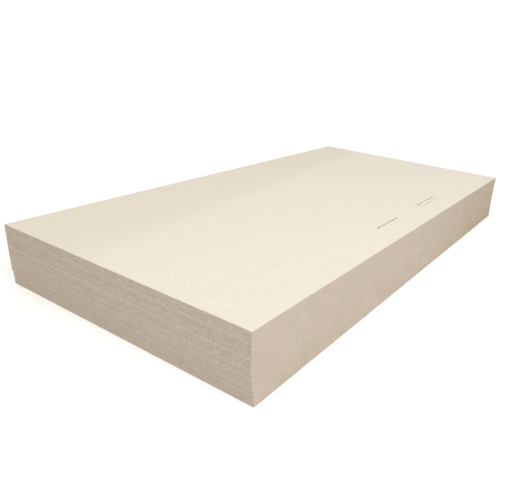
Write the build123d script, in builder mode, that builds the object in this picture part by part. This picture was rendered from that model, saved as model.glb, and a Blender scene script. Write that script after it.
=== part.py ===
"""A pack of flat fiber cement boards, stacked face to face with no pallet and no straps.

Every board is a separate sheet of the same size. The boards were laid by hand, so their ends stand
unevenly, a few of them stand proud, and towards the floor they have slid out and turned more and more.

Frame: +X runs along the boards, +Y across them and +Z up. The origin is the middle of the lowest
board's underside, so the pack stands on the plane z = 0. Sizes are in millimetres.
"""

import os
from math import sin, tau

from build123d import *

# One board: a sheet of 8 by 4 feet, a quarter of an inch thick
board_length = 2438.4
board_width = 1219.2
board_thickness = 6.35
arris = 0.5  # sanded chamfer along every edge

# The pack
board_count = 39
end_scatter = 0.6  # unevenness of the ends, either way along X
side_scatter = 0.2  # unevenness of the long sides, either way along Y
proud_step = 0.9  # a proud board stands out this much further at the -X end
lift_step = 2.6  # the upper lift overhangs the lower one by this much at the -X end
foot_slide = 9.7  # how far the lowest board has slid out along -Y from under the straight boards
foot_turn = 0.195  # how far the lowest board has turned about Z, in degrees

# Shares of the pack's height
lower_lift_share = 0.24
foot_share = 0.8  # from the floor up to here, each board has slid and turned less than the one below it
proud_height_shares = (0.21, 0.47, 0.58, 0.63, 0.84)

# Power with which the slide and the turn grow towards the floor
foot_power = 2

# Share of a turn that the scatter advances from board to board; the golden share never repeats itself
golden_share = 0.618

proud_boards = [round(share * (board_count - 1)) for share in proud_height_shares]
lower_lift_count = round(lower_lift_share * board_count)


def slid_share(index):
    """A board's share of the lowest board's slide and turn, with index 0 for the lowest board."""
    height_share = index / (board_count - 1)
    return max(0, 1 - height_share / foot_share) ** foot_power


def end_shift(index):
    """How far along X a board lies from the lowest one."""
    shift = end_scatter * sin(tau * golden_share * index)
    if index >= lower_lift_count:
        shift -= lift_step
    if index in proud_boards:
        shift -= proud_step
    return shift


def side_shift(index):
    """How far along Y a board lies from the lowest one."""
    scatter = side_scatter * sin(tau * golden_share**2 * index)
    return foot_slide * (1 - slid_share(index)) + scatter


os.makedirs("parts", exist_ok=True)

for index in range(board_count):
    underside = Plane(origin=(end_shift(index), side_shift(index), index * board_thickness))
    with BuildPart() as board:
        with BuildSketch(underside):
            Rectangle(board_length, board_width, rotation=foot_turn * slid_share(index))
        extrude(amount=board_thickness)
        chamfer(board.edges(), length=arris)
    board.part.label = f"board_{index + 1:02d}"
    export_step(board.part, f"parts/{board.part.label}.step")
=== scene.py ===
# %% [markdown]
# A pack of fiber cement boards
#
# The object is a low pack of thin, cream boards, laid face to face by hand. The CAD model gives every
# board its size and place, so this lesson only dresses the boards: it gives each one real edges and a
# cement finish, and then lights and photographs the pack. Lengths are in metres, apart from the values
# whose names end in MM, which are in millimetres.

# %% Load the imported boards
import math

import bpy
import numpy as np
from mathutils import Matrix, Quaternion, Vector


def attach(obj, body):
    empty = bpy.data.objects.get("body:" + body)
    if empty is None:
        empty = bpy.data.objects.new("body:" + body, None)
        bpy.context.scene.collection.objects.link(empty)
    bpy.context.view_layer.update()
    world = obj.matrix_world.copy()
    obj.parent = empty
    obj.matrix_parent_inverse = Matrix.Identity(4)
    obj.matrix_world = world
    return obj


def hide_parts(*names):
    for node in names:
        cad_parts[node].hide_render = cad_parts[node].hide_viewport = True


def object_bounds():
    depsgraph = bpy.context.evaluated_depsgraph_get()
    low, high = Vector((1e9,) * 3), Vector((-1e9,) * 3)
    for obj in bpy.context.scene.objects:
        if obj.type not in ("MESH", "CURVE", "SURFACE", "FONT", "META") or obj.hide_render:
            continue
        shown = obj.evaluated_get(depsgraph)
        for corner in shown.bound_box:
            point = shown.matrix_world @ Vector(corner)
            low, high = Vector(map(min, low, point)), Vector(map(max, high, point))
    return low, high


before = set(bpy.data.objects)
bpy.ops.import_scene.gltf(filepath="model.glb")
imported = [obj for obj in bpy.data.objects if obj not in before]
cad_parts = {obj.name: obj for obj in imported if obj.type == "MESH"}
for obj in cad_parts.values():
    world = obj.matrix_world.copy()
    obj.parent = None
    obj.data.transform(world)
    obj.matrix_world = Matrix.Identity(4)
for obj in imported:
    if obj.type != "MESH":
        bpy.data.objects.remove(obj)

MM = 0.001
cad_low, cad_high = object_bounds()
board_names = sorted(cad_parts)
print(f"{len(board_names)} boards in a box of {[round(x / MM, 1) for x in cad_high - cad_low]} mm")

# %% [markdown]
# Where each board lies
#
# The lowest boards have slid and turned a little, so a board isn't always square to the axes and its
# bounding box is larger than the board. The CAD mesh still tells the truth: two corners of its top face
# give the direction of the long side, and all its points, measured along that direction and across it,
# give the middle, the length and the width. Reading the sizes like this keeps them out of the script.

# %% Measure a board
SAME_HEIGHT_MM = 0.01  # points this close in height lie on one face


def measure_board(node):
    """Middle of the underside, turn of the long side, and (length, width, thickness) of a CAD board."""
    points = np.array([vertex.co for vertex in node.data.vertices])
    bottom, top = points[:, 2].min(), points[:, 2].max()
    face = points[points[:, 2] > top - SAME_HEIGHT_MM * MM]
    near_left = face[np.argmin(face[:, 0] + face[:, 1])]
    near_right = face[np.argmax(face[:, 0] - face[:, 1])]
    turn = math.atan2(near_right[1] - near_left[1], near_right[0] - near_left[0])
    lengthwise = np.array([math.cos(turn), math.sin(turn)])
    crosswise = np.array([-math.sin(turn), math.cos(turn)])
    u, v = points[:, :2] @ lengthwise, points[:, :2] @ crosswise
    middle = lengthwise * (u.min() + u.max()) / 2 + crosswise * (v.min() + v.max()) / 2
    size = (u.max() - u.min(), v.max() - v.min(), top - bottom)
    return np.array([*middle, bottom]), turn, size


_, foot_turn, _ = measure_board(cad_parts[board_names[0]])
top_middle, _, (length, width, thickness) = measure_board(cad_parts[board_names[-1]])
print(f"a board is {length / MM:.1f} x {width / MM:.1f} x {thickness / MM:.2f} mm")
print(f"the lowest board is turned by {math.degrees(foot_turn):.2f} degrees")

# %% [markdown]
# Colours and nodes
#
# Colours are written as the sRGB hex values that a paint program shows. Blender's shaders work in
# linear light, so one function turns the first into the second. Another small function adds a shader
# node: it sets the node's options and fills its inputs, either with values or with other nodes' outputs.

# %% Helpers for materials
def linear(hex_colour):
    """An sRGB colour such as F2EADA as linear RGBA, by the curve of the sRGB standard."""
    srgb = [int(hex_colour[i:i + 2], 16) / 255 for i in (0, 2, 4)]
    return (*[c / 12.92 if c <= 0.04045 else ((c + 0.055) / 1.055) ** 2.4 for c in srgb], 1.0)


def add_node(tree, kind, inputs=None, output=0, **options):
    """Adds a node, sets its options, fills its inputs with values or links, and returns one output."""
    node = tree.nodes.new(kind)
    for option, value in options.items():
        setattr(node, option, value)
    for socket, value in (inputs or {}).items():
        if isinstance(value, bpy.types.NodeSocket):
            tree.links.new(value, node.inputs[socket])
        else:
            node.inputs[socket].default_value = value
    return node.outputs[output]


def new_material(name):
    """A node material, with its tree and its Principled shader."""
    material = bpy.data.materials.new(name)
    material.use_nodes = True
    tree = material.node_tree
    return material, tree, tree.nodes["Principled BSDF"]


MID_GREY = "808080"
print("mid grey in linear light:", round(linear(MID_GREY)[0], 3))

# %% [markdown]
# Layers and scales
#
# A finish is built like paint, in thin layers, and each layer lays one colour over those below it. A
# texture says where: the layer comes in at the first value of its span and is full at the second, so a
# span that runs downwards picks the places where the texture is low. A noise texture's scale is the
# number of its features in a metre, so a last helper works it out from the size of one feature in
# millimetres.

# %% Helpers for layers
FACTOR, COLOUR_BELOW, COLOUR_ABOVE = 0, 6, 7  # the Mix node's inputs for colours
MIXED_COLOUR = 2  # and its output


def lay_colours(tree, colour, layers):
    """Lays colours over one another: a layer is a texture, its span, its strength and its colour."""
    for texture, (low, high), layer_strength, layer_colour in layers:
        stretch = {"Value": texture, "From Min": low, "From Max": high, "To Max": layer_strength}
        share = add_node(tree, "ShaderNodeMapRange", stretch, interpolation_type="SMOOTHSTEP")
        mix = {FACTOR: share, COLOUR_BELOW: colour, COLOUR_ABOVE: linear(layer_colour)}
        colour = add_node(tree, "ShaderNodeMix", mix, MIXED_COLOUR, data_type="RGBA")
    return colour


def per_metre(*sizes_mm):
    """Texture scale for features of this many millimetres, or one scale for each axis."""
    scales = tuple(1 / (size_mm * MM) for size_mm in sizes_mm)
    return scales if len(scales) > 1 else scales[0]


FINE_GRAIN_MM = 4
print(f"features of {FINE_GRAIN_MM} mm have a scale of {per_metre(FINE_GRAIN_MM):.0f}")

# %% [markdown]
# The face: fiber cement, pressed on felt
#
# A fiber cement board is cellulose fiber, cement and sand, laid up wet in thin films and pressed. Its
# face is matt and nearly even in colour. What the eye finds on it is small clouds where the sheet dried
# unevenly, a fine felt grain, a few specks of fiber and short, pale rub marks from handling. They could
# be painted, but noise at each of these sizes never repeats and has no seams. All of it is weak, because
# the face should look plain at first sight.

# %% Textures of the pressed face
CLOUD_MM = 18
FELT_MM = 4  # the real grain is about 1 mm, which is too fine to show
SPECK_MM = 7
RUB_MM = (120, 9)  # along a rub mark and across it
RUB_HEADING = math.radians(24)

# Pressed on felt, so the surface is matt and shows no gleam
pressed_face, face_tree, face_shader = new_material("fiber_cement_pressed_face")
face_place = add_node(face_tree, "ShaderNodeTexCoord", output="Object")
clouds, felt, fiber_specks = (
    add_node(
        face_tree, "ShaderNodeTexNoise",
        {"Vector": face_place, "Scale": per_metre(size_mm), "Detail": detail},
    )
    for size_mm, detail in ((CLOUD_MM, 3.0), (FELT_MM, 2.0), (SPECK_MM, 0.0))
)
rub_scale = per_metre(RUB_MM[0], RUB_MM[1], RUB_MM[1])
rub_place = add_node(
    face_tree, "ShaderNodeMapping",
    {"Vector": face_place, "Rotation": (0, 0, RUB_HEADING), "Scale": rub_scale},
)
rubs = add_node(face_tree, "ShaderNodeTexNoise", {"Vector": rub_place, "Scale": 1.0})
print(pressed_face.name, "has four noise textures in", len(face_tree.nodes), "nodes")

# %% Layers of the pressed face
CREAM = "F2EADA"
DAMP_CREAM = "E8DFCB"
FELT_CREAM = "DCCFBB"
RUBBED_CREAM = "F7F1E6"
FIBER_SPECK = "B9A88F"
FELT_BUMP = {"Strength": 0.2, "Distance": 0.15 * MM}
PRESSED_ROUGHNESS = 0.85
CEMENT_IOR = 1.5  # typical of cement and of most minerals

cream = lay_colours(face_tree, linear(CREAM), [
    (clouds, (0.35, 0.70), 0.26, DAMP_CREAM),
    (rubs, (0.64, 0.78), 0.50, RUBBED_CREAM),
    (felt, (0.35, 0.70), 0.14, FELT_CREAM),
    (fiber_specks, (0.82, 0.88), 0.20, FIBER_SPECK),
])
felt_bump = add_node(face_tree, "ShaderNodeBump", {**FELT_BUMP, "Height": felt})
face_tree.links.new(felt_bump, face_shader.inputs["Normal"])
face_shader.inputs["Roughness"].default_value = PRESSED_ROUGHNESS
face_shader.inputs["IOR"].default_value = CEMENT_IOR
print(pressed_face.name, "has", len(face_tree.nodes), "nodes so far")

# %% [markdown]
# Ink on the top board
#
# Sheet stock often carries a little grey ink near one long side. Here it is plain rows of ticks that say
# nothing: a short block and a run of dashes in two places, with a fainter run beside the second. They
# could be small meshes, but ink has no thickness, so it is one more layer of colour. Each run is a box,
# and a place is inked where it lies inside the box along all three axes. Noise squeezed along the run
# breaks it into ticks and makes the ink uneven. The box is thin, so of all the boards that share this
# material it marks only the top one.

# %% Boxes in a material
def inside_boxes(tree, place, corner, boxes):
    """Each box's strength inside it and 0 elsewhere. A box is its middle and size in mm, and a strength."""
    from_corner = add_node(tree, "ShaderNodeVectorMath", {0: place, 1: corner}, operation="SUBTRACT")
    reaches = [add_node(tree, "ShaderNodeSeparateXYZ", {0: from_corner}, axis) for axis in "XYZ"]
    strongest = 0.0
    for box_middle, box_size, box_strength in boxes:
        inside = box_strength
        for reach, middle_mm, size_mm in zip(reaches, box_middle, box_size):
            compare = {0: reach, 1: middle_mm * MM, 2: size_mm / 2 * MM}
            within = add_node(tree, "ShaderNodeMath", compare, operation="COMPARE")
            inside = add_node(tree, "ShaderNodeMath", {0: inside, 1: within}, operation="MULTIPLY")
        strongest = add_node(tree, "ShaderNodeMath", {0: strongest, 1: inside}, operation="MAXIMUM")
    return strongest


ticked_corner = Vector(top_middle) - Vector((length / 2, width / 2, -thickness))
print("runs of ink are measured from", [round(x / MM, 1) for x in ticked_corner], "mm")

# %% Ticks of ink
INK = "8E897B"
INK_TALL_MM = 9
INK_DEEP_MM = 2
INK_TICK_MM = (16, 60)  # along a run and across it
INK_SPAN = (0.30, 0.48)  # values of the noise over which a tick comes in
# Each run: start and end along the board and place across it, in mm from the -X -Y corner, and strength
INK_RUNS = (
    (1020, 1048, 125, 1.0),
    (1062, 1219, 125, 0.7),
    (1486, 1512, 134, 0.9),
    (1524, 1701, 134, 0.65),
    (1500, 1707, 109, 0.3),
)

ink_boxes = [
    (((start_mm + stop_mm) / 2, across_mm, 0), (stop_mm - start_mm, INK_TALL_MM, INK_DEEP_MM), ink_strength)
    for start_mm, stop_mm, across_mm, ink_strength in INK_RUNS
]
ink = inside_boxes(face_tree, face_place, ticked_corner, ink_boxes)
tick_scale = per_metre(INK_TICK_MM[0], INK_TICK_MM[1], INK_TICK_MM[1])
tick_place = add_node(face_tree, "ShaderNodeMapping", {"Vector": face_place, "Scale": tick_scale})
ticks = add_node(face_tree, "ShaderNodeTexNoise", {"Vector": tick_place, "Scale": 1.0, "Detail": 0.0})
inked_cream = lay_colours(face_tree, cream, [(ticks, INK_SPAN, ink, INK)])
face_tree.links.new(inked_cream, face_shader.inputs["Base Color"])
print(len(INK_RUNS), "runs of ticks,", len(face_tree.nodes), "nodes in all")

# %% [markdown]
# The edge: fiber cement, sawn
#
# The edges were sawn, so they show the inside of the sheet, browner than the face. The two ends were cut
# one board at a time: dust sits in the joints and every board has its own shade, so an end looks like
# woven cloth. Some of these shades are painted light: a paler board paints a highlight on a lit arris, and
# a darker one paints shade under an overhanging board. The long sides were trimmed as a stack, which left
# them smooth and soft in colour. One material with three numbers stored at the points of each board's mesh
# can make both: the tone of the board with its painted light, how close a point is to a joint, and whether
# it lies on an end.

# %% Textures of the sawn edge
# Sizes along the boards and up the pack
WEAVE_MM = (6, 4.5)  # the films inside a board are near 1 mm, which is too fine to show
SCRATCH_MM = (2.5, 30)  # the saw's marks are under 1 mm apart, which is too fine to show
DUST_MM = (9, 5)
GRIT_MM = (14, 6)
# Sizes all round
MOTTLE_MM = 90
BLUSH_MM = 70

# Sawn and left rough, so it is duller than the face
sawn_edge, edge_tree, edge_shader = new_material("fiber_cement_sawn_edge")
edge_place = add_node(edge_tree, "ShaderNodeTexCoord", output="Object")
tone_and_light, joint, end = (
    add_node(edge_tree, "ShaderNodeAttribute", output="Fac", attribute_name=attribute)
    for attribute in ("board_tone_and_light", "joint", "sawn_end")
)
edge_textures = []
for along_mm, upright_mm in (WEAVE_MM, SCRATCH_MM, DUST_MM, GRIT_MM):
    squeeze = per_metre(along_mm, along_mm, upright_mm)
    squeezed = add_node(edge_tree, "ShaderNodeMapping", {"Vector": edge_place, "Scale": squeeze})
    edge_textures.append(add_node(edge_tree, "ShaderNodeTexNoise", {"Vector": squeezed, "Scale": 1.0}))
for size_mm, detail in ((MOTTLE_MM, 3.0), (BLUSH_MM, 2.0)):
    noise = {"Vector": edge_place, "Scale": per_metre(size_mm), "Detail": detail}
    edge_textures.append(add_node(edge_tree, "ShaderNodeTexNoise", noise))
weave, scratches, dust, grit, mottle, blush = edge_textures
print(sawn_edge.name, "has", len(edge_textures), "noise textures")

# %% [markdown]
# Tone, with its painted highlights and shade, weave and joint dust are much weaker on the long sides than
# on the ends, so they get their strength from the number that marks an end. Real dust has fallen out here
# and there, and a board's tone isn't even from end to end, so for these two a noise thins the strength
# again in patches.

# %% Strengths that follow the end
STRENGTHS = {"tone_and_light": (0.02, 0.18), "weave": (0.05, 0.45), "joint": (0.04, 0.52)}  # on a side, on an end
PATCHES = {"joint": (dust, (0.15, 0.60)), "tone_and_light": (mottle, (0.30, 0.65))}

strength = {}
for layer, (side_strength, end_strength) in STRENGTHS.items():
    by_end = {"Value": end, "To Min": side_strength, "To Max": end_strength}
    strength[layer] = add_node(edge_tree, "ShaderNodeMapRange", by_end)
for layer, (texture, (low, high)) in PATCHES.items():
    patchy = {"Value": texture, "From Min": low, "From Max": high, "To Max": strength[layer]}
    strength[layer] = add_node(edge_tree, "ShaderNodeMapRange", patchy)
print("strength by place for", ", ".join(strength))

# %% [markdown]
# The edge is painted darker towards the pack's far end: painted shade, where the light falls off along the
# pack. Damp turned the foot a little rosy and left a yellow stain low on the far half. Foot and stain fade
# upwards from the floor, and the stain fades in along the boards as well, so its strength is a slope along
# one axis, scaled by a slope along the other. The three scuffs on the near long side are boxes, like the
# ink.

# %% Painted far shade, damp foot, stain and scuffs
FOOT_MM, FOOT_STRENGTH = 45, 0.08
STAIN_MM, STAIN_STRENGTH = 120, 0.50
# Shares of the length from the middle: where each starts and where it is full
# painted shade: the edge darkens along the pack from the first share to the second
FAR_SHADE_SHARES = (-0.05, 0.50)
STAIN_SHARES = (0.05, 0.35)
# Each scuff: middle along the boards and above the floor, length, strength
SCUFFS = ((695, 190, 13, 0.35), (1261, 237, 16, 0.5), (1490, 148, 18, 0.5))
SCUFF_TALL_MM = 7
SCUFF_DEEP_MM = 40

edge_x, edge_z = (add_node(edge_tree, "ShaderNodeSeparateXYZ", {0: edge_place}, axis) for axis in "XZ")
foot, stained_foot = (
    add_node(
        edge_tree, "ShaderNodeMapRange",
        {"Value": edge_z, "From Min": top_mm * MM, "From Max": 0.0, "To Max": floor_strength},
    )
    for top_mm, floor_strength in ((FOOT_MM, FOOT_STRENGTH), (STAIN_MM, STAIN_STRENGTH))
)
far_shade_span, (stain_start, stain_full) = (
    [share * length for share in shares] for shares in (FAR_SHADE_SHARES, STAIN_SHARES)
)
stain = add_node(
    edge_tree, "ShaderNodeMapRange",
    {"Value": edge_x, "From Min": stain_start, "From Max": stain_full, "To Max": stained_foot},
)
scuffed_corner = Vector((ticked_corner.x, ticked_corner.y, 0))
scuff_boxes = [
    ((along_mm, 0, up_mm), (long_mm, SCUFF_DEEP_MM, SCUFF_TALL_MM), scuff_strength)
    for along_mm, up_mm, long_mm, scuff_strength in SCUFFS
]
scuffs = inside_boxes(edge_tree, edge_place, scuffed_corner, scuff_boxes)
print(f"a stain from {stain_start:.2f} m on, and {len(SCUFFS)} scuffs")

# %% [markdown]
# Now the edge is laid up from below: first the painted shade towards the far end and the slow changes of
# colour along the pack, then the tone with its painted highlights and shade, the weave and the scratches
# that the saw laid bare, and last what came later, which is the foot, the stain, the dust, the grit and the
# scuffs. Two colours mixed by one strong noise would look printed, while many weak layers look like cement.

# %% Layers of the sawn edge
SAWN_CEMENT = "DCCCBA"
FAR_SHADE_CEMENT = "C4B296"
ROSY_CEMENT = "DCC3B4"
OLIVE_CEMENT = "CFC8B0"
PALE_CEMENT = "F1E8DB"
DARK_CEMENT = "BDAE9B"
SAWN_END = "E2D3C1"
DAMP_FOOT = "D6BCA8"
YELLOW_STAIN = "CDB58C"
JOINT_DUST = "7F6E5B"
DARK_GRIT = "8C7B68"
SAW_BUMP = {"Strength": 0.15, "Distance": 0.2 * MM}
SAWN_ROUGHNESS = 0.95

sawn_colour = lay_colours(edge_tree, linear(SAWN_CEMENT), [
    # painted shade: sides and ends grow darker towards the far end, where the light falls off
    (edge_x, far_shade_span, 0.64, FAR_SHADE_CEMENT),
    (blush, (0.52, 0.75), 0.40, ROSY_CEMENT),
    (blush, (0.55, 0.25), 0.45, OLIVE_CEMENT),
    (mottle, (0.50, 0.80), 0.20, PALE_CEMENT),
    (end, (0.00, 1.00), 0.55, SAWN_END),
    # tone: a random shade for each board, with painted highlights and painted shade on the picked boards
    (tone_and_light, (0.50, 1.00), strength["tone_and_light"], PALE_CEMENT),
    (tone_and_light, (0.50, 0.00), strength["tone_and_light"], DARK_CEMENT),
    (weave, (0.48, 0.75), strength["weave"], PALE_CEMENT),
    (weave, (0.52, 0.25), strength["weave"], DARK_CEMENT),
    (scratches, (0.50, 0.80), strength["weave"], DARK_CEMENT),
    (mottle, (0.30, 0.60), foot, DAMP_FOOT),
    (blush, (0.35, 0.65), stain, YELLOW_STAIN),
    (joint, (0.00, 1.00), strength["joint"], JOINT_DUST),
    (grit, (0.76, 0.84), 0.50, DARK_GRIT),
    (weave, (0.25, 0.50), scuffs, DARK_GRIT),
])
saw_bump = add_node(edge_tree, "ShaderNodeBump", {**SAW_BUMP, "Height": scratches})
edge_tree.links.new(sawn_colour, edge_shader.inputs["Base Color"])
edge_tree.links.new(saw_bump, edge_shader.inputs["Normal"])
edge_shader.inputs["Roughness"].default_value = SAWN_ROUGHNESS
edge_shader.inputs["IOR"].default_value = CEMENT_IOR
print(sawn_edge.name, "has", len(edge_tree.nodes), "nodes")

# %% [markdown]
# The shape of a board's edge
#
# Seen close, the edge of a board isn't a sharp box edge. The sander took off a fine arris, the films
# stand in and out by a tenth or two of a millimetre, the corners are knocked and there is a chip here
# and there. A bevel modifier would round every edge alike, so the edge is built as rows of points
# instead: each row follows the outline of the board at its own height and is set back by its own
# amount, which wanders along the edge. A dressed board is never longer, wider or thicker than its CAD
# board.

# %% Stations along a side
STATION_MM = 9.0
CORNER_STATIONS_MM = (0.0, 0.7, 1.8, 4.0)  # from each corner, up to where the even steps begin


def stations(reach):
    """Places along one side, from -reach/2 to reach/2, packed closer at the corners."""
    corner = np.array(CORNER_STATIONS_MM) * MM
    inner = reach / 2 - corner[-1]
    count = round(2 * inner / (STATION_MM * MM))
    even = np.linspace(-inner, inner, count + 1)
    return np.concatenate([-reach / 2 + corner[:-1], even, (reach / 2 - corner[:-1])[::-1]])


long_stations = stations(length)
wide_stations = stations(width)
print(f"{len(long_stations)} stations along a board and {len(wide_stations)} across it")

# %% Outline of a board
END_SIDES = (1, 3)  # the second and the fourth side, counted from the near one


def outline(along, across):
    """The board's outline, counterclockwise from the -X -Y corner: points, inward directions, sides."""
    u0, u1, v0, v1 = along[0], along[-1], across[0], across[-1]
    points, inward, sides = [], [], []
    runs = [
        ([(u, v0) for u in along[:-1]], (0, 1), (1, 1)),
        ([(u1, v) for v in across[:-1]], (-1, 0), (-1, 1)),
        ([(u, v1) for u in along[:0:-1]], (0, -1), (-1, -1)),
        ([(u0, v) for v in across[:0:-1]], (1, 0), (1, -1)),
    ]
    for side, (run, direction, corner_direction) in enumerate(runs):
        points += run
        inward += [corner_direction] + [direction] * (len(run) - 1)
        sides += [side] * len(run)
    return np.array(points), np.array(inward, float), np.array(sides)


rim_points, rim_inward, rim_sides = outline(long_stations, wide_stations)
on_end = np.isin(rim_sides, END_SIDES)
print(f"{len(rim_points)} points round the outline, {on_end.sum()} of them on the ends")

# %% [markdown]
# Wander and chips
#
# Two kinds of unevenness shape the rows. A wander is a smooth random line: random heights at even
# steps, joined by half cosine waves, and closed so that it meets itself at the first corner. A chip is
# a short notch where the arris broke away.

# %% Wander and chips
CHIPS_PER_FACE = 5
CHIP_WIDTH_MM = 14
CHIP_DEPTH_MM = 1.3
CHIP_SHARES = (0.4, 1.0)  # the smallest and the largest chip, as shares of that width and depth

rim_steps = np.linalg.norm(np.roll(rim_points, -1, axis=0) - rim_points, axis=1)
rim_length = rim_steps.sum()
rim_distance = np.concatenate([[0], np.cumsum(rim_steps)[:-1]])


def wander(rng, step_mm, low_mm, high_mm):
    """A smooth random line round the outline, between two sizes in millimetres."""
    count = round(rim_length / (step_mm * MM))
    knots = rng.uniform(low_mm, high_mm, count) * MM
    knot_distance = rim_distance / rim_length * count
    before = knot_distance.astype(int) % count
    blend = (1 - np.cos(np.pi * (knot_distance % 1))) / 2
    return knots[before] * (1 - blend) + knots[(before + 1) % count] * blend


def chips(rng):
    """Depth of the chips round the outline."""
    depth = np.zeros(len(rim_distance))
    for _ in range(CHIPS_PER_FACE):
        gap = abs(rim_distance - rng.uniform(0, rim_length))
        half = rng.uniform(*CHIP_SHARES) * CHIP_WIDTH_MM * MM / 2
        deepest = rng.uniform(*CHIP_SHARES) * CHIP_DEPTH_MM * MM
        depth = np.maximum(depth, deepest * np.clip(1 - (gap / half) ** 2, 0, 1))
    return depth


print(f"the outline is {rim_length:.2f} m long, with {CHIPS_PER_FACE} chips on each face")

# %% [markdown]
# The arris
#
# The ends were sawn and left, while the long sides were trimmed in a stack and come out nearly flush, so
# their arris is finer. At the four corners a knock took more away. The deepest of these wins at each
# point, as it does on a real board, where one loss swallows another.

# %% Arris
END_ARRIS_MM = (0.30, 0.75)
SIDE_ARRIS_MM = (0.03, 0.10)
ARRIS_STEP_MM = 70
CORNER_REACH_MM = 5
CORNER_KNOCK_MM = (0.6, 1.6)

corner_distance = (np.array([length, width]) / 2 - abs(rim_points)).max(axis=1)


def arris(rng):
    """How much of the edge the sander and the knocks took, round one face of a board."""
    end_arris = wander(rng, ARRIS_STEP_MM, *END_ARRIS_MM)
    side_arris = wander(rng, ARRIS_STEP_MM, *SIDE_ARRIS_MM)
    worn = np.maximum(np.where(on_end, end_arris, side_arris), chips(rng))
    near_corner = np.clip(1 - corner_distance / (CORNER_REACH_MM * MM), 0, 1)
    return np.maximum(worn, rng.uniform(*CORNER_KNOCK_MM) * MM * near_corner)


print(f"deepest loss of one arris: {arris(np.random.default_rng(1)).max() / MM:.2f} mm")

# %% [markdown]
# One board's edge
#
# The rows run from the underside, round the edge, to the top face: an inner row on the flat underside,
# the lower arris, five rows up the wall, the upper arris and an inner row on the top face. The wall's
# rows stand in and out with the films, less on the trimmed long sides than on the ends.

# %% Rows round the edge
WALL_SHARES = (0.0, 0.22, 0.48, 0.74, 1.0)  # of the wall's height, from the lower arris up
FILM_RELIEF_MM = 0.14
FILM_STEP_MM = 25
SIDE_RELIEF_SHARE = 0.2
EDGE_WANDER_MM = 0.18
EDGE_STEP_MM = 220
THIN_RIM_MM = 0.14
THIN_STEP_MM = 160


def edge_rows(rng):
    """Pairs of set-back and height round the outline, from the lower arris to the upper one."""
    relief = np.where(on_end, 1.0, SIDE_RELIEF_SHARE)
    lower, upper = arris(rng), arris(rng)
    thin_below, thin_above = (wander(rng, THIN_STEP_MM, 0, THIN_RIM_MM) for _ in range(2))
    back = wander(rng, EDGE_STEP_MM, 0, EDGE_WANDER_MM) * relief
    bottom, top = thin_below + lower, thickness - thin_above - upper
    rows = [(back + lower, thin_below)]
    for share in WALL_SHARES:
        film = rng.uniform(0, FILM_RELIEF_MM) * MM + wander(rng, FILM_STEP_MM, 0, FILM_RELIEF_MM)
        rows.append((back + film * relief, bottom + share * (top - bottom)))
    rows.append((back + upper, thickness - thin_above))
    return rows


print(len(edge_rows(np.random.default_rng(1))), "rows from the lower arris to the upper one")

# %% Points and quads of the rows
FACE_MARGIN_MM = 10  # from the outline to the inner rows

inner_shrink = 1 - 2 * FACE_MARGIN_MM * MM / np.array([length, width])


def board_rows(rng):
    """Points of every row of a board, in the board's own frame."""
    inner = rim_points * inner_shrink
    rows = [np.column_stack([inner, np.zeros(len(inner))])]
    for back, height in edge_rows(rng):
        rows.append(np.column_stack([rim_points + rim_inward * back[:, None], height]))
    rows.append(np.column_stack([inner, np.full(len(inner), thickness)]))
    return rows


def strip_faces(rows):
    """Quads between neighbouring rows, facing outwards."""
    count = len(rows[0])
    here = np.arange(count)
    ahead = (here + 1) % count
    strip = np.column_stack([here, ahead, ahead + count, here + count])
    return np.concatenate([strip + r * count for r in range(len(rows) - 1)]).tolist()


sample_rows = board_rows(np.random.default_rng(1))
print(f"{len(sample_rows)} rows, {len(strip_faces(sample_rows))} quads round the edge")

# %% [markdown]
# The face of the pack
#
# Only the top board's face shows, so only it gets a grid; the hidden faces are one polygon each. The
# grid's lines continue the stations of the outline, which makes it meet the inner row point for point.
# Its waves are a few long sine waves, a tenth of a millimetre deep, as a pressed sheet has.

# %% Grid for the top face
FACE_WAVES = 6
FACE_WAVE_MM = (300, 900)
FACE_WAVE_DEPTH_MM = 0.12


def face_waves(rng, u, v):
    """Depth of the top face's slight waves below flat."""
    total = np.zeros_like(u)
    for _ in range(FACE_WAVES):
        heading, phase = rng.uniform(0, math.tau, 2)
        wave = rng.uniform(*FACE_WAVE_MM) * MM
        total += np.sin(math.tau * (u * math.cos(heading) + v * math.sin(heading)) / wave + phase)
    return FACE_WAVE_DEPTH_MM * MM * (total / FACE_WAVES + 1) / 2


def face_grid(rng, rows):
    """Points and quads that close the top face, and the depth of its waves at the inner row."""
    u, v = np.meshgrid(long_stations * inner_shrink[0], wide_stations * inner_shrink[1], indexing="ij")
    count = len(rows[0])
    ring_start = (len(rows) - 1) * count
    index = np.full(u.shape, -1)
    used = ring_start
    for side in (index[:-1, 0], index[-1, :-1], index[:0:-1, -1], index[0, :0:-1]):
        side[:] = np.arange(used, used + len(side))
        used += len(side)
    inside = index < 0
    index[inside] = used + np.arange(inside.sum())
    depth = face_waves(rng, u, v)
    points = np.column_stack([u[inside], v[inside], thickness - depth[inside]])
    quads = np.stack([index[:-1, :-1], index[1:, :-1], index[1:, 1:], index[:-1, 1:]], axis=-1)
    ring_depth = np.zeros(count)
    ring_depth[index[~inside] - ring_start] = depth[~inside]
    return points, quads.reshape(-1, 4).tolist(), ring_depth


grid_points, grid_quads, _ = face_grid(np.random.default_rng(1), sample_rows)
print(f"top face: {len(grid_points)} points, {len(grid_quads)} quads")

# %% [markdown]
# Faces and finishes
#
# The quads round the edge get the sawn finish, and the flat faces and their rims the pressed one. There
# is one exception: along the long sides, a board's upper rim can show as a narrow ledge under the next
# board. Saw dust lies on it, so there the rim is finished as sawn.

# %% Faces of one board
PRESSED, SAWN = 0, 1  # places of the two finishes in a board's list of materials


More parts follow.
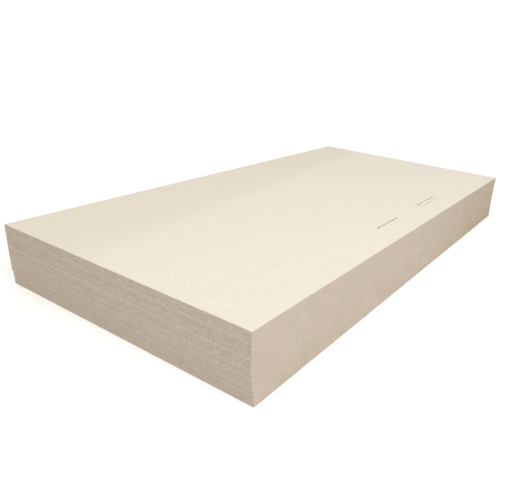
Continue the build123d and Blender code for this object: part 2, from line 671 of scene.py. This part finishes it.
def board_faces(rng, rows, is_top):
    """Faces of a board and their finishes, and the points that the top board's face adds to the rows."""
    count = len(rows[0])
    faces = strip_faces(rows)
    finishes = np.full(len(faces), SAWN)
    finishes[:count] = PRESSED
    finishes[-count:] = PRESSED if is_top else np.where(on_end, PRESSED, SAWN)
    faces.append(list(range(count))[::-1])
    if is_top:
        face_points, quads, ring_depth = face_grid(rng, rows)
        rows[-1][:, 2] -= ring_depth
        faces += quads
    else:
        face_points = np.zeros((0, 3))
        faces.append([(len(rows) - 1) * count + i for i in range(count)])
    flat_faces = np.full(len(faces) - len(finishes), PRESSED)
    return faces, np.concatenate([finishes, flat_faces]), face_points


sample_faces, sample_finishes, _ = board_faces(np.random.default_rng(1), sample_rows, False)
print(f"a hidden board has {len(sample_faces)} faces, {(sample_finishes == SAWN).sum()} of them sawn")

# %% [markdown]
# Numbers for the finish
#
# The sawn finish asks for three numbers at every point. Dust is thickest at the two arrises, where boards
# meet. A board's tone is laid mostly towards its upper arris. There a pale board paints a highlight where
# the arris would catch the light, and a dark board paints shade. A pale board also has less dust there,
# which makes its painted highlight brighter. Stored as point attributes, these numbers stay with the mesh
# wherever it goes.

# %% Numbers for each row
# From the inner row of the underside to the inner row of the top face
ROW_DUST = (0.0, 1.0, 0.9, 0.15, 0.0, 0.15, 0.9, 1.0, 0.0)
# painted highlight and shade: a board's tone is laid mostly on its upper rows, where a lit arris shows
ROW_TONE_AND_LIGHT = (0.0, 0.0, 0.0, 0.2, 0.6, 1.0, 1.0, 1.0, 0.0)
UPPER_ARRIS_ROWS = slice(6, 8)
MIDDLE_TONE = 0.5
# painted highlight: the palest board's upper arris is cleared of dust by this share, so the line there is
# paler
HIGHLIGHT_DUST_SHARE = 0.5  # what the palest board has lost of the dust at its upper arris


def finish_numbers(rows, board_tone_and_light):
    """The numbers that steer the sawn finish, at every point of the rows."""
    count = len(rows[0])
    paleness = max(0, board_tone_and_light - MIDDLE_TONE) / (1 - MIDDLE_TONE)
    row_dust = np.array(ROW_DUST)
    row_dust[UPPER_ARRIS_ROWS] *= 1 - HIGHLIGHT_DUST_SHARE * paleness
    row_tone_and_light = MIDDLE_TONE + (board_tone_and_light - MIDDLE_TONE) * np.array(ROW_TONE_AND_LIGHT)
    return {
        "board_tone_and_light": np.repeat(row_tone_and_light, count),
        "joint": np.repeat(row_dust, count),
        "sawn_end": np.tile(on_end, len(rows)).astype(float),
    }


print("numbers at each point:", ", ".join(finish_numbers(sample_rows, MIDDLE_TONE)))

# %% [markdown]
# The whole pack
#
# Each board gets its own random numbers from its own seed, so the pack comes out the same on every run.
# The new board replaces its CAD node and rides on the body called root.

# %% Dress one board
SHARP_ANGLE = math.radians(30)


def dress_board(number, name, board_tone_and_light):
    """Builds one board in place of its CAD node and returns its number of faces."""
    rng = np.random.default_rng(number)
    middle, turn, _ = measure_board(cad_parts[name])
    rows = board_rows(rng)
    faces, finishes, face_points = board_faces(rng, rows, name == board_names[-1])
    cos, sin = math.cos(turn), math.sin(turn)
    turned = np.concatenate([*rows, face_points]) @ np.array([[cos, sin, 0], [-sin, cos, 0], [0, 0, 1]])

    mesh = bpy.data.meshes.new(f"cement_{name}")
    mesh.from_pydata((turned + middle).tolist(), [], faces)
    mesh.materials.append(pressed_face)
    mesh.materials.append(sawn_edge)
    mesh.polygons.foreach_set("material_index", finishes)
    mesh.polygons.foreach_set("use_smooth", np.ones(len(faces), bool))
    mesh.set_sharp_from_angle(angle=SHARP_ANGLE)
    for attribute, values in finish_numbers(rows, board_tone_and_light).items():
        data = mesh.attributes.new(attribute, "FLOAT", "POINT").data
        data.foreach_set("value", np.pad(values, (0, len(face_points))))

    board = bpy.data.objects.new(f"cement_{name}", mesh)
    bpy.context.scene.collection.objects.link(board)
    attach(board, "root")
    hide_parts(name)
    return len(faces)


print("edges sharper than", round(math.degrees(SHARP_ANGLE)), "degrees stay sharp")

# %% [markdown]
# Most boards differ only a little in tone, at random. Some boards, picked out by their share of the way
# down the pack, get the palest or the darkest tone instead. The palest paints a highlight where a board's
# upper arris catches the light, and the darkest paints shade under a board that overhangs it.

# %% Dress every board
TONE_SEED = 40
TONE_SPREAD = (0.2, 0.8)
# painted light: the palest tone paints a lit arris, the darkest paints shade under an overhanging board
HIGHLIGHT_TONE, SHADE_TONE = 1.0, 0.0
HIGHLIGHT_BOARD_SHARES = (0.14, 0.36, 0.52, 0.62, 0.78)
SHADED_BOARD_SHARES = (0.12, 0.24, 0.46, 0.70, 0.82, 0.94)

tones_and_light = np.random.default_rng(TONE_SEED).uniform(*TONE_SPREAD, len(board_names))
for shares, picked_tone in ((HIGHLIGHT_BOARD_SHARES, HIGHLIGHT_TONE), (SHADED_BOARD_SHARES, SHADE_TONE)):
    for share in shares:
        tones_and_light[-1 - int(share * len(board_names))] = picked_tone
face_count = sum(dress_board(number, name, tones_and_light[number]) for number, name in enumerate(board_names))
print(f"{len(board_names)} boards with {face_count} faces in all")

# %% [markdown]
# The camera
#
# The photograph was taken close to one corner and from about waist height, so the pack narrows strongly
# towards its far end. The camera's place, its slight roll and its lens come from matching the pack's
# corners in the photograph. The match puts the middle of the lens a little off the middle of the
# picture, as cropping does, and a small lens shift repeats that.

# %% Camera
CAMERA_PLACE = Vector((-2.1905, -1.3391, 0.9821))
CAMERA_TARGET = Vector((-0.7753, -0.4038, 0.2477))
CAMERA_ROLL = math.radians(3.84)
FOCAL_LENGTH_PX = 525.21
IMAGE_WIDTH_PX, IMAGE_HEIGHT_PX = 512, 479
LENS_CENTRE_PX = (287.48, 263.02)
SENSOR_MM = 36.0

camera_data = bpy.data.cameras.new("camera")
camera_data.sensor_width = SENSOR_MM
camera_data.lens = FOCAL_LENGTH_PX / IMAGE_WIDTH_PX * SENSOR_MM
camera_data.shift_x = (IMAGE_WIDTH_PX / 2 - LENS_CENTRE_PX[0]) / IMAGE_WIDTH_PX
camera_data.shift_y = (LENS_CENTRE_PX[1] - IMAGE_HEIGHT_PX / 2) / IMAGE_WIDTH_PX
camera = bpy.data.objects.new("camera", camera_data)
bpy.context.scene.collection.objects.link(camera)
camera.location = CAMERA_PLACE
camera.rotation_mode = "QUATERNION"
aim = (CAMERA_TARGET - CAMERA_PLACE).to_track_quat("-Z", "Y")
camera.rotation_quaternion = aim @ Quaternion((0, 0, 1), CAMERA_ROLL)
bpy.context.scene.camera = camera
print(f"lens {camera_data.lens:.1f} mm, shift {camera_data.shift_x:.3f}, {camera_data.shift_y:.3f}")

# %% [markdown]
# The floor
#
# The pack stands on a plain white floor. To the camera the floor has to look white, but a floor lit that
# strongly would light the pack too. The Light Path node tells the two apart: rays that show the floor
# meet a glow, and rays that carry light don't. Under the glow the floor is an ordinary matt surface, which
# throws light back onto the sides and keeps the soft shadow at the pack's foot.

# %% Floor paint
FLOOR_COLOUR = "DCDCDC"
FLOOR_GLOW = 0.46
WHITE = (1, 1, 1, 1)


def seen_directly(tree):
    """1 for rays that show a surface to the camera, straight or by gloss or glass, and 0 for light."""
    seen = 0.0
    for ray in ("Is Camera Ray", "Is Glossy Ray", "Is Transmission Ray"):
        path = add_node(tree, "ShaderNodeLightPath", output=ray)
        seen = add_node(tree, "ShaderNodeMath", {0: seen, 1: path}, operation="MAXIMUM")
    return seen


floor_paint, floor_tree, floor_shader = new_material("matt_white_floor_paint")
floor_shader.inputs["Base Color"].default_value = linear(FLOOR_COLOUR)
floor_shader.inputs["Roughness"].default_value = 1.0
floor_shader.inputs["Specular IOR Level"].default_value = 0.0
floor_shader.inputs["Emission Color"].default_value = WHITE
shown_glow = {0: seen_directly(floor_tree), 1: FLOOR_GLOW}
glow = add_node(floor_tree, "ShaderNodeMath", shown_glow, operation="MULTIPLY")
floor_tree.links.new(glow, floor_shader.inputs["Emission Strength"])
print(floor_paint.name, "glows at", FLOOR_GLOW, "where it is seen")

# %% Floor
FLOOR_SIZE = 60.0
FLOOR_GAP = 0.3 * MM

bpy.ops.mesh.primitive_plane_add(size=FLOOR_SIZE, location=(0, 0, -FLOOR_GAP))
floor = bpy.context.object
floor.name = "floor"
floor.data.materials.append(floor_paint)
print(f"floor {FLOOR_SIZE} m wide, {FLOOR_GAP / MM:.1f} mm under the lowest board")

# %% [markdown]
# The sky
#
# An even, white sky gives most of the light, as in a tent of white cloth. It uses the same trick as the
# floor: it lights the pack at one strength and shows itself to the camera at another, which is white.

# %% Sky
SKY_STRENGTH = 0.81
WHITE_SKY = 1.05  # a little over white, so that noise cannot tint it

world = bpy.data.worlds.new("sky")
bpy.context.scene.world = world
world.use_nodes = True
sky = world.node_tree.nodes["Background"]
sky.inputs["Color"].default_value = WHITE
sky_levels = {"Value": seen_directly(world.node_tree), "To Min": SKY_STRENGTH, "To Max": WHITE_SKY}
sky_strength = add_node(world.node_tree, "ShaderNodeMapRange", sky_levels)
world.node_tree.links.new(sky_strength, sky.inputs["Strength"])
print(f"sky at {SKY_STRENGTH}")

# %% [markdown]
# The softbox
#
# One large softbox above the near long side makes the top the brightest face, then that side, then the
# end. A sun lamp would light the whole length alike; the softbox is near enough for its light to fall off
# towards the far end, as it does in the photograph.

# %% Softbox
SOFTBOX_PLACE = Vector((-1.3, -2.0, 3.2))
SOFTBOX_TARGET = Vector((-0.7, -0.1, 0.25))
SOFTBOX_SIZE = (1.6, 1.2)
SOFTBOX_WATTS = 29.0

softbox_data = bpy.data.lights.new("softbox", "AREA")
softbox_data.shape = "RECTANGLE"
softbox_data.size, softbox_data.size_y = SOFTBOX_SIZE
softbox_data.energy = SOFTBOX_WATTS
softbox = bpy.data.objects.new("softbox", softbox_data)
bpy.context.scene.collection.objects.link(softbox)
softbox.location = SOFTBOX_PLACE
softbox.rotation_mode = "QUATERNION"
softbox.rotation_quaternion = (SOFTBOX_TARGET - SOFTBOX_PLACE).to_track_quat("-Z", "Y")
print(f"softbox of {SOFTBOX_SIZE} m at {SOFTBOX_WATTS} W")

# %% [markdown]
# The net
#
# In the photograph a soft, slightly darker band lies along the far side of the top, where something
# overhead held back a little light. It could be painted on the board, but it isn't part of the board. A
# net, as photographers use, does the same with light: a cream gauze that lets most of it through, hung
# low over that band and left out of the camera's sight.

# %% Net
NET_GAP = 0.06  # above the pack
NET_COLOUR = "F9F7F4"
NET_CORNERS = ((-2.2, 0.05), (2.2, 0.45), (2.2, 1.6), (-2.2, 1.6))

gauze, gauze_tree, _ = new_material("cream_cotton_gauze")
see_through = add_node(gauze_tree, "ShaderNodeBsdfTransparent", {"Color": linear(NET_COLOUR)})
gauze_tree.links.new(see_through, gauze_tree.nodes["Material Output"].inputs["Surface"])
net_mesh = bpy.data.meshes.new("net")
net_mesh.from_pydata([(x, y, cad_high[2] + NET_GAP) for x, y in NET_CORNERS], [], [(0, 1, 2, 3)])
net_mesh.materials.append(gauze)
net = bpy.data.objects.new("net", net_mesh)
bpy.context.scene.collection.objects.link(net)
net.visible_camera = False
print("net lets through", [f"{share:.0%}" for share in linear(NET_COLOUR)[:3]])

# %% [markdown]
# Colour view
#
# The Standard view shows colours as they are written. The dressed pack has to stay inside the box of
# the CAD pack.

# %% Colour view
bpy.context.scene.view_settings.view_transform = "Standard"
